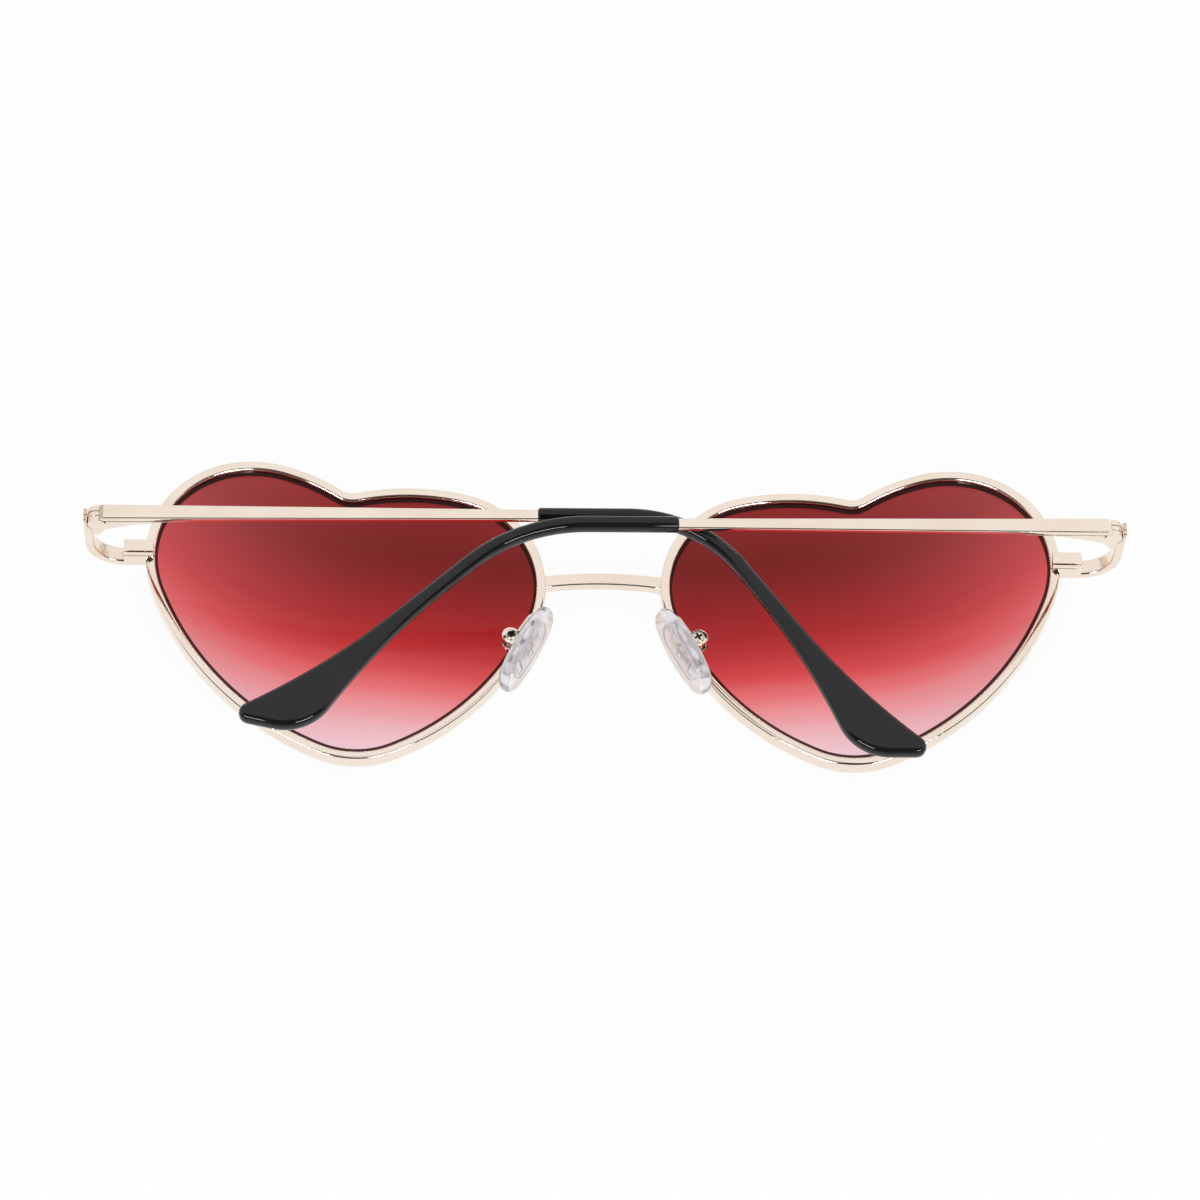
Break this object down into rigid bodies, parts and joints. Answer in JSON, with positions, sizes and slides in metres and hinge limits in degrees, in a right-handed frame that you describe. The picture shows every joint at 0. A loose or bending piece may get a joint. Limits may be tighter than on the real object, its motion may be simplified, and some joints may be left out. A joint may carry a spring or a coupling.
{
  "type": "heart shaped sunglasses",
  "caption": "Folding sunglasses with heart-shaped gradient lenses in thin polished metal rims, an arched bridge, rocking nose pads and hinged temples with curved sleeved tips.",
  "frame": {"origin": "midway between the two lenses, at half their height, on the plane that touches the fronts of both lenses", "axes": "+X to the right as seen from behind the lenses, +Y up the hearts towards the brow, +Z from the lens fronts towards the wearer"},
  "size_m": [0.1442, 0.0525, 0.024],
  "materials": {
    "frame_metal": "pale champagne-gold plating, polished",
    "lens": "tinted plastic, dark red above fading to pale pink below, glossy",
    "tip": "black moulded sleeve, semi-gloss",
    "pad": "clear soft silicone, faintly lavender",
    "pad_insert": "clear moulded insert",
    "screw": "bright steel"
  },
  "bodies": {
    "front": {"bridge": "frame_metal", "rim_left": "frame_metal", "lens_left": "lens", "end_piece_left": "frame_metal", "closing_block_upper_left": "frame_metal", "closing_block_lower_left": "frame_metal", "closing_screw_left": "screw", "front_hinge_left": "frame_metal", "hinge_screw_left": "screw", "pad_arm_left": "frame_metal", "pad_box_left": "frame_metal", "pad_screw_left": "screw", "rim_right": "frame_metal", "lens_right": "lens", "end_piece_right": "frame_metal", "closing_block_upper_right": "frame_metal", "closing_block_lower_right": "frame_metal", "closing_screw_right": "screw", "front_hinge_right": "frame_metal", "hinge_screw_right": "screw", "pad_arm_right": "frame_metal", "pad_box_right": "frame_metal", "pad_screw_right": "screw"},
    "temple_arm_left": {"temple_left": "frame_metal", "temple_hinge_left": "frame_metal", "temple_tip_left": "tip"},
    "temple_arm_right": {"temple_right": "frame_metal", "temple_hinge_right": "frame_metal", "temple_tip_right": "tip"},
    "pad_left": {"nose_pad_left": "pad", "nose_pad_insert_left": "pad_insert"},
    "pad_right": {"nose_pad_right": "pad", "nose_pad_insert_right": "pad_insert"}
  },
  "joints": [
    {"name": "temple_left_fold", "type": "hinge", "parent": "front", "child": "temple_arm_left", "pos_m": [-0.0703, 0.0073, 0.0169], "axis": [0, -1, 0], "range_deg": [0, 90]},
    {"name": "temple_right_fold", "type": "hinge", "parent": "front", "child": "temple_arm_right", "pos_m": [0.0703, 0.0073, 0.0169], "axis": [0, 1, 0], "range_deg": [0, 87.8]},
    {"name": "pad_left_rock", "type": "hinge", "parent": "front", "child": "pad_left", "pos_m": [-0.01292, -0.00543, 0.0068], "axis": [0, 0, 1], "range_deg": [-8, 8]},
    {"name": "pad_right_rock", "type": "hinge", "parent": "front", "child": "pad_right", "pos_m": [0.01292, -0.00543, 0.0068], "axis": [0, 0, 1], "range_deg": [-8, 8]}
  ]
}
